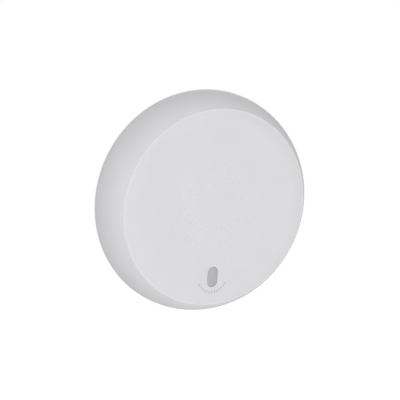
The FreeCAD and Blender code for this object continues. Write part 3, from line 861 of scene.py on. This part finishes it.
@dataclass
class CoverShell:
    """The front cover: a domed shell with a flat, dimpled face and an opening for the button."""

    button: TestButton
    cover_r: float = 45.0
    belly_depth: float = 22.2
    back_r: float = 43.7
    back_depth: float = 17.0
    rim_r: float = 39.9
    rim_depth: float = 36.2
    land_depth: float = 36.36
    land_round: float = 0.15
    land_foot: float = 0.06
    flat_r: float = 34.6
    face_depth: float = 37.0
    wall: float = 1.8
    inner_rim_r: float = 38.1
    inner_rim_depth: float = 34.4
    inner_flat_r: float = 35.5
    flat_margin: float = 0.15
    lip_round: float = 0.25
    hole_gap: float = 0.07
    hole_round: float = 0.05
    hole_steps: int = 4
    first_dimple_r: float = 8.78
    dimple_pitch: float = 1.875
    dimple_rings: int = 6
    dimples_per_ring: int = 22
    dimple_r: float = 0.55
    dimple_slope: float = 0.3
    dimple_depth: float = 0.08
    dimple_sides: int = 8
    # How the depth is shared between the steep outer half of the slope and its flatter inner half.
    dimple_shares: tuple[float, float] = (0.75, 0.25)
    mark_r: float = 6.3
    mark_length: float = 1.15
    mark_width: float = 0.42
    mark_proud: float = 0.006
    mark_count: int = 13
    mark_pitch: float = 10.5
    steps: int = 240
    side_steps: int = 20
    arc_steps: int = 8
    edge_segments: int = 5

    @property
    def inner_face(self) -> float:
        """Depth of the inner side of the flat."""
        return self.face_depth - self.wall

    @property
    def border_bend(self) -> float:
        """Radius of the arc that leads the flat of the face over to the rim."""
        return tangent_arc(self.face_depth - self.rim_depth, self.rim_r - self.flat_r)[0]

    def shell(self, mesh: bmesh.types.BMesh) -> None:
        """Turns the shell, open at the flat of the face, and rounds its edges.

        Args:
            mesh: The mesh that it is made in.
        """
        border = self.border_bend
        side, _ = tangent_arc(self.cover_r - self.rim_r, self.rim_depth - self.belly_depth)
        border_turn = math.acos(1 - (self.face_depth - self.land_depth) / border)
        side_turn = math.asin((self.land_depth - self.belly_depth) / side)
        land_in = self.flat_r + border * math.sin(border_turn)
        land_out = self.cover_r - side * (1 - math.cos(side_turn))
        skirt, skirt_turn = tangent_arc(self.cover_r - self.back_r, self.belly_depth - self.back_depth)
        inner_r = self.cover_r - self.wall
        inner, inner_turn = tangent_arc(inner_r - self.inner_rim_r, self.inner_rim_depth - self.belly_depth)
        outline = Outline(mesh, self.flat_r - self.flat_margin, self.face_depth)
        outline.line(self.flat_r, self.face_depth)
        outline.arc(self.flat_r, self.face_depth - border, math.degrees(border_turn), self.arc_steps)
        outline.line(land_out, self.land_depth)
        outline.arc(self.cover_r - side, self.belly_depth, math.degrees(side_turn), self.side_steps)
        outline.arc(self.cover_r - skirt, self.belly_depth, skirt_turn, self.arc_steps)
        outline.line(self.back_r - self.wall, self.back_depth)
        outline.line(inner_r, self.belly_depth)
        outline.arc(inner_r - inner, self.belly_depth, -inner_turn, self.arc_steps)
        outline.line(self.inner_flat_r, self.inner_face)
        outline.spun(self.steps)
        foot = ring(mesh, land_in, self.land_depth)
        edge = ring(mesh, land_out, self.land_depth)
        lip = ring(mesh, self.back_r, self.back_depth) + ring(mesh, self.back_r - self.wall, self.back_depth)
        for edges, size in ((foot, self.land_foot), (edge, self.land_round), (lip, self.lip_round)):
            bmesh.ops.bevel(
                mesh, geom=edges, offset=size * MM, offset_type="OFFSET", segments=self.edge_segments,
                profile=0.5, affect="EDGES", material=-1,
            )
        # The faces on the land get the rim's painted highlight, a lighter colour.
        for face in mesh.faces:
            middle = face.calc_center_median() / MM
            on_land = land_in < math.hypot(middle.x, middle.z) < land_out + self.land_round
            if on_land and -middle.y > self.land_depth - self.land_round:
                face.material_index = CoverSkin.LAND

    def hole(self, mesh: bmesh.types.BMesh) -> tuple[list[bmesh.types.BMEdge], list[bmesh.types.BMEdge]]:
        """Makes the wall of the button's opening with a rounded mouth.

        Args:
            mesh: The mesh that it is made in.

        Returns:
            The opening's edges on the face and on the inside.
        """
        loops = self.button.rounded(mesh, self.face_depth, self.hole_gap, self.hole_round, self.hole_steps)
        loops.append(self.button.loop(mesh, self.inner_face, self.hole_gap))
        bridged(mesh, loops)
        return loops[0], loops[-1]

    def dimples(self, mesh: bmesh.types.BMesh) -> list[bmesh.types.BMEdge]:
        """Sinks rings of dimples, each ring set half a pitch on from the last.

        Args:
            mesh: The mesh that they are made in.

        Returns:
            The edges of their mouths.
        """
        faces = []
        for row in range(self.dimple_rings):
            radius = self.first_dimple_r + row * self.dimple_pitch
            for number in range(self.dimples_per_ring):
                turn = math.tau * (number + row % 2 / 2) / self.dimples_per_ring
                middle = at(radius * math.sin(turn), self.face_depth, radius * math.cos(turn))
                made = bmesh.ops.create_circle(
                    mesh, cap_ends=True, segments=self.dimple_sides, radius=self.dimple_r * MM,
                    matrix=Matrix.Translation(middle) @ UPRIGHT,
                )
                faces += made["verts"][0].link_faces
        for face in faces:
            if face.normal.y > 0:
                face.normal_flip()
        sides = []
        slope = self.dimple_slope / len(self.dimple_shares)
        for share in self.dimple_shares:
            sides += bmesh.ops.inset_individual(
                mesh, faces=faces, thickness=slope * MM, depth=-self.dimple_depth * share * MM
            )["faces"]
        return list({edge for side in sides for edge in side.edges if edge.is_boundary})

    def marks(self, mesh: bmesh.types.BMesh) -> None:
        """Prints short strokes round the foot of the button, on the curved border of the face.

        Args:
            mesh: The mesh that they are made in.
        """
        bend = self.border_bend
        x, z = self.button.centre
        size = Matrix.Diagonal((self.mark_width * MM, self.mark_length * MM, 2 * self.mark_proud * MM, 1))
        for number in range(self.mark_count):
            turn = math.radians((number - (self.mark_count - 1) / 2) * self.mark_pitch)
            mark_x, mark_z = x + self.mark_r * math.sin(turn), z - self.mark_r * math.cos(turn)
            radius = math.hypot(mark_x, mark_z)
            tilt = math.asin(max(0.0, radius - self.flat_r) / bend)
            depth = self.face_depth - bend * (1 - math.cos(tilt))
            outward = Vector((mark_x, 0, mark_z)) / radius
            lean = Matrix.Rotation(tilt, 4, Vector((0, -1, 0)).cross(outward))
            made = bmesh.ops.create_cube(
                mesh, size=1.0,
                matrix=Matrix.Translation(at(mark_x, depth, mark_z)) @ lean
                @ Matrix.Rotation(-turn, 4, "Y") @ UPRIGHT @ size,
            )
            for face in {face for vert in made["verts"] for face in vert.link_faces}:
                face.material_index = CoverSkin.PRINT

    def build(self) -> None:
        """Builds the cover in place of its plain solid."""
        mesh = bmesh.new()
        self.shell(mesh)
        front, back = self.hole(mesh)
        flat = ring(mesh, self.flat_r - self.flat_margin, self.face_depth)
        edges = flat + front + self.dimples(mesh)
        bmesh.ops.triangle_fill(mesh, use_beauty=True, edges=edges, normal=(0, -1, 0))
        inner = ring(mesh, self.inner_flat_r, self.inner_face)
        bmesh.ops.triangle_fill(mesh, use_beauty=True, edges=inner + back, normal=(0, 1, 0))
        self.marks(mesh)
        CoverInside(self).build(mesh)
        finishes = {CoverSkin.BODY: ABS_WHITE, CoverSkin.PRINT: INK, CoverSkin.LAND: ABS_RIM_HIGHLIGHT}
        piece = to_piece("front_cover_form", mesh, [finishes[skin] for skin in CoverSkin], "head")
        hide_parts("front_cover")


@dataclass
class CoverInside:
    """What stands on the inner side of the front cover, sunk into half of its wall."""

    shell: CoverShell
    seat_in_r: float = 38.2
    seat_back: float = 19.0
    seat_height: float = 1.2
    siren_ring_r: float = 15.5
    siren_ring_wall: float = 1.0
    siren_ring_height: float = 2.6
    ring_steps: int = 120
    pillar_ring_r: float = 32.0
    pillar_angle: float = 60.0
    pillar_count: int = 3
    pillar_r: float = 2.6
    pillar_back: float = 25.0
    pillar_steps: int = 24
    pilot_r: float = 1.15
    pilot_end: float = 32.0
    guide_gap: float = 0.2
    guide_wall: float = 1.0
    guide_height: float = 2.7
    arm_r: float = 36.1
    arm_wall: float = 1.4
    arm_hook: float = 1.3
    arm_hook_depth: float = 13.1
    arm_hook_height: float = 1.7
    # Half of an arm's width, in degrees about the main axis.
    arm_half_turn: float = 6.5
    arm_count: int = 3
    arm_steps: int = 6

    @property
    def sunk(self) -> float:
        """Depth that the forms reach into the wall."""
        return self.shell.face_depth - self.shell.wall / 2

    def band(self, mesh: bmesh.types.BMesh, inner: float, outer: float, back: float, front: float) -> None:
        """Turns a plain ring about the main axis.

        Args:
            mesh: The mesh that it is made in.
            inner: Its inner radius.
            outer: Its outer radius.
            back: Depth of its back.
            front: Depth of its front.
        """
        outline = Outline(mesh, inner, back).line(outer, back).line(outer, front).line(inner, front)
        outline.closed().spun(self.ring_steps)

    def pillars(self, mesh: bmesh.types.BMesh) -> None:
        """Makes the pillars for the board's screws, with their pilot holes.

        Args:
            mesh: The mesh that they are made in.
        """
        for number in range(self.pillar_count):
            turn = math.radians(self.pillar_angle + 360 * number / self.pillar_count)
            centre = (self.pillar_ring_r * math.cos(turn), self.pillar_ring_r * math.sin(turn))
            outline = Outline(mesh, 0, self.pilot_end, centre).line(self.pilot_r, self.pilot_end)
            outline.line(self.pilot_r, self.pillar_back).line(self.pillar_r, self.pillar_back)
            outline.line(self.pillar_r, self.sunk).line(0, self.sunk).spun(self.pillar_steps)

    def guide(self, mesh: bmesh.types.BMesh) -> None:
        """Makes the sleeve that keeps the button square.

        Args:
            mesh: The mesh that it is made in.
        """
        back = self.shell.inner_face - self.guide_height
        near = self.shell.button.flange_grow + self.guide_gap
        far = near + self.guide_wall
        section = ((self.sunk, near), (back, near), (back, far), (self.sunk, far), (self.sunk, near))
        bridged(mesh, [self.shell.button.loop(mesh, depth, grow) for depth, grow in section])

    def snap_arms(self, mesh: bmesh.types.BMesh) -> None:
        """Makes the arms that hook under the housing's flange.

        Args:
            mesh: The mesh that they are made in.
        """
        inner = self.arm_r - self.arm_wall
        end = self.arm_hook_depth - self.arm_hook_height
        for number in range(self.arm_count):
            arm = Outline(mesh, inner, self.sunk).line(self.arm_r, self.sunk)
            arm.line(self.arm_r, self.arm_hook_depth).line(self.arm_r + self.arm_hook, self.arm_hook_depth)
            arm.line(self.arm_r, end).line(inner, end).closed()
            arm.swept(360 * number / self.arm_count, self.arm_half_turn, self.arm_steps)

    def build(self, mesh: bmesh.types.BMesh) -> None:
        """Makes the seat on the housing, the siren's ring, the pillars, the guide and the snap arms.

        Args:
            mesh: The cover's mesh.
        """
        seat_out_r = self.shell.cover_r - self.shell.wall / 2
        self.band(mesh, self.seat_in_r, seat_out_r, self.seat_back, self.seat_back + self.seat_height)
        siren_back = self.shell.inner_face - self.siren_ring_height
        siren_out_r = self.siren_ring_r + self.siren_ring_wall
        self.band(mesh, self.siren_ring_r, siren_out_r, siren_back, self.sunk)
        self.pillars(mesh)
        self.guide(mesh)
        self.snap_arms(mesh)


@dataclass
class Mounting:
    """The housing behind the cover and the bayonet plate on the wall."""

    housing: Finish = ABS_BACK
    plate: Finish = ABS_BACK

    def build(self, frame: dict) -> None:
        """Dresses the housing and the plate.

        Args:
            frame: The loaded frame.
        """
        dress(frame, {"rear_housing": self.housing, "mounting_plate": self.plate})


@dataclass
class Power:
    """The lithium cell and its two leaf contacts."""

    sleeve: Finish = SLEEVE
    leaf: Finish = NICKEL

    def build(self, frame: dict) -> None:
        """Dresses the cell and the contacts.

        Args:
            frame: The loaded frame.
        """
        dress(frame, {"battery": self.sleeve, "contact_positive": self.leaf, "contact_negative": self.leaf})


@dataclass
class SmokeChamber:
    """The optical chamber with its labyrinth, screen and optical pair."""

    wall: Finish = ABS_BLACK
    screen: Finish = STAINLESS

    def build(self, frame: dict) -> None:
        """Dresses the chamber's pieces.

        Args:
            frame: The loaded frame.
        """
        dress(frame, {
            "chamber_base": self.wall,
            "chamber_cover": self.wall,
            "insect_screen": self.screen,
            "infrared_emitter": EMITTER_RESIN,
            "light_sensor": SENSOR_RESIN,
            "sensor_shield": TINPLATE,
        })


@dataclass
class Siren:
    """The piezo sounder behind the face."""

    cup: Finish = NYLON_BLACK
    disc: Finish = BRASS

    def build(self, frame: dict) -> None:
        """Dresses the sounder's pieces.

        Args:
            frame: The loaded frame.
        """
        dress(frame, {
            "siren_cup": self.cup,
            "siren_disc": self.disc,
            "siren_ceramic": SILVERED,
            "siren_gasket": RUBBER,
            "siren_springs": NICKEL,
        })


@dataclass
class Electronics:
    """The main board with its parts, and the radio."""

    resist: Finish = RESIST_GREEN
    radio_resist: Finish = RESIST_BLUE

    def build(self, frame: dict) -> None:
        """Dresses the boards and what stands on them.

        Args:
            frame: The loaded frame.
        """
        dress(frame, {
            "main_board": self.resist,
            "board_screws": ZINC,
            "test_switch": NYLON_BLACK,
            "switch_plunger": NYLON_GREY,
            "status_light": LAMP_RESIN,
            "microcontroller": EPOXY,
            "clock_crystal": TINPLATE,
            "buffer_capacitor": SLEEVE_DARK,
            "boost_coil": FERRITE,
            "radio_board": self.radio_resist,
            "radio_can": TINPLATE,
            "radio_aerial": BRASS,
        })


@dataclass(frozen=True)
class Lamp:
    """A plain area lamp that is aimed at the object.

    Its strength is how bright a white surface that faces it turns out.
    """

    name: str
    azimuth: float
    elevation: float
    distance: float
    size: float
    strength: float

    def build(self) -> None:
        """Hangs the lamp."""
        data = bpy.data.lights.new(self.name, "AREA")
        data.shape = "DISK"
        data.size = self.size
        data.energy = self.strength * (math.pi * self.distance) ** 2
        lamp = add_object(self.name, data)
        away = way(self.azimuth, self.elevation)
        lamp.location = away * self.distance
        lamp.rotation_euler = away.to_track_quat("Z", "Y").to_euler()


@dataclass
class Studio:
    """A pale floor in a plain white room with soft light."""

    floor_drop: float = 0.9
    floor_size: float = 6.0
    floor_colour: str = "e6e6e6"
    floor_glow: float = 0.7
    ambient: float = 0.452
    lamps: tuple[Lamp, ...] = (
        Lamp("soft_front", azimuth=0, elevation=5, distance=1.6, size=1.4, strength=0.43),
        Lamp("soft_low_left", azimuth=45, elevation=-20, distance=1.4, size=0.8, strength=0.114),
        Lamp("soft_high_left", azimuth=90, elevation=40, distance=1.6, size=1.4, strength=0.228),
        Lamp("soft_back", azimuth=-153, elevation=10, distance=1.6, size=0.4, strength=0.25),
    )

    def surround(self, tree: bpy.types.NodeTree) -> bpy.types.NodeSocket:
        """Tells what is seen straight or in a reflection from what only gives light.

        Args:
            tree: The node tree that asks.

        Returns:
            1 for camera, glossy and transmission rays, and 0 for the others.
        """
        path = add_node(tree, "ShaderNodeLightPath")
        seen = add_node(tree, "ShaderNodeMath", operation="MAXIMUM")
        tree.links.new(path.outputs["Is Camera Ray"], seen.inputs[0])
        tree.links.new(path.outputs["Is Glossy Ray"], seen.inputs[1])
        every = add_node(tree, "ShaderNodeMath", operation="MAXIMUM")
        tree.links.new(seen.outputs["Value"], every.inputs[0])
        tree.links.new(path.outputs["Is Transmission Ray"], every.inputs[1])
        return every.outputs["Value"]

    def room(self) -> None:
        """Makes the white room."""
        world = bpy.data.worlds.new("White room")
        tree = empty_tree(world)
        light = add_node(tree, "ShaderNodeBackground", {"Color": WHITE, "Strength": self.ambient})
        white = add_node(tree, "ShaderNodeBackground", {"Color": WHITE, "Strength": 1.0})
        mix = add_node(tree, "ShaderNodeMixShader")
        tree.links.new(self.surround(tree), mix.inputs[0])
        tree.links.new(light.outputs["Background"], mix.inputs[1])
        tree.links.new(white.outputs["Background"], mix.inputs[2])
        add_node(tree, "ShaderNodeOutputWorld", {"Surface": mix.outputs["Shader"]})
        bpy.context.scene.world = world

    def floor(self) -> None:
        """Lays the floor, which shows white and keeps the object's shadow."""
        mesh = bmesh.new()
        bmesh.ops.create_grid(
            mesh, x_segments=1, y_segments=1, size=self.floor_size / 2,
            matrix=Matrix.Translation((0, 0, -self.floor_drop)),
        )
        data = bpy.data.meshes.new("floor")
        mesh.to_mesh(data)
        mesh.free()
        made = bpy.data.materials.new("Paper white, rolled out")
        tree = empty_tree(made)
        paper = add_node(tree, "ShaderNodeBsdfDiffuse", {"Color": linear(self.floor_colour)})
        glow = add_node(tree, "ShaderNodeEmission", {"Color": WHITE})
        shown = add_node(tree, "ShaderNodeMath", operation="MULTIPLY")
        tree.links.new(self.surround(tree), shown.inputs[0])
        shown.inputs[1].default_value = self.floor_glow
        tree.links.new(shown.outputs["Value"], glow.inputs["Strength"])
        both = add_node(tree, "ShaderNodeAddShader")
        tree.links.new(paper.outputs["BSDF"], both.inputs[0])
        tree.links.new(glow.outputs["Emission"], both.inputs[1])
        add_node(tree, "ShaderNodeOutputMaterial", {"Surface": both.outputs["Shader"]})
        data.materials.append(made)
        add_object("floor", data)

    def build(self) -> None:
        """Builds the room, the floor and the lamps."""
        bpy.context.scene.view_settings.view_transform = "Standard"
        self.room()
        self.floor()
        for lamp in self.lamps:
            lamp.build()


@dataclass
class PhotoCamera:
    """The camera, set to the photograph's view of the object.

    Angles are degrees, and lens and sensor are millimetres.
    """

    azimuth: float = 27.2
    elevation: float = 12.75
    roll: float = 3.2
    distance: float = 0.75
    lens: float = 166.8
    sensor: float = 36.0
    target: tuple[float, float, float] = (0.0, -0.017, 0.0)
    aside: float = 0.0024
    down: float = 0.00112

    def build(self) -> None:
        """Places the camera."""
        roll = math.radians(self.roll)
        away = way(self.azimuth, self.elevation)
        right = (-away).cross(Vector((0, 0, 1))).normalized()
        up = right.cross(-away)
        side = right * math.cos(roll) + up * math.sin(roll)
        top = up * math.cos(roll) - right * math.sin(roll)
        data = bpy.data.cameras.new("photo_camera")
        data.lens = self.lens
        data.sensor_width = self.sensor
        camera = add_object("photo_camera", data)
        place = Vector(self.target) + away * self.distance + side * self.aside - top * self.down
        camera.matrix_world = Matrix.Translation(place) @ Matrix((side, top, away)).transposed().to_4x4()
        bpy.context.scene.camera = camera


def main() -> None:
    """Builds the scene around the frame."""
    logging.basicConfig(level=logging.INFO, format="%(name)s: %(message)s")
    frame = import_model()
    button = TestButton()
    button.build()
    CoverShell(button).build()
    Mounting().build(frame)
    Power().build(frame)
    SmokeChamber().build(frame)
    Siren().build(frame)
    Electronics().build(frame)
    Studio().build()
    PhotoCamera().build()


if __name__ == "__main__":
    main()
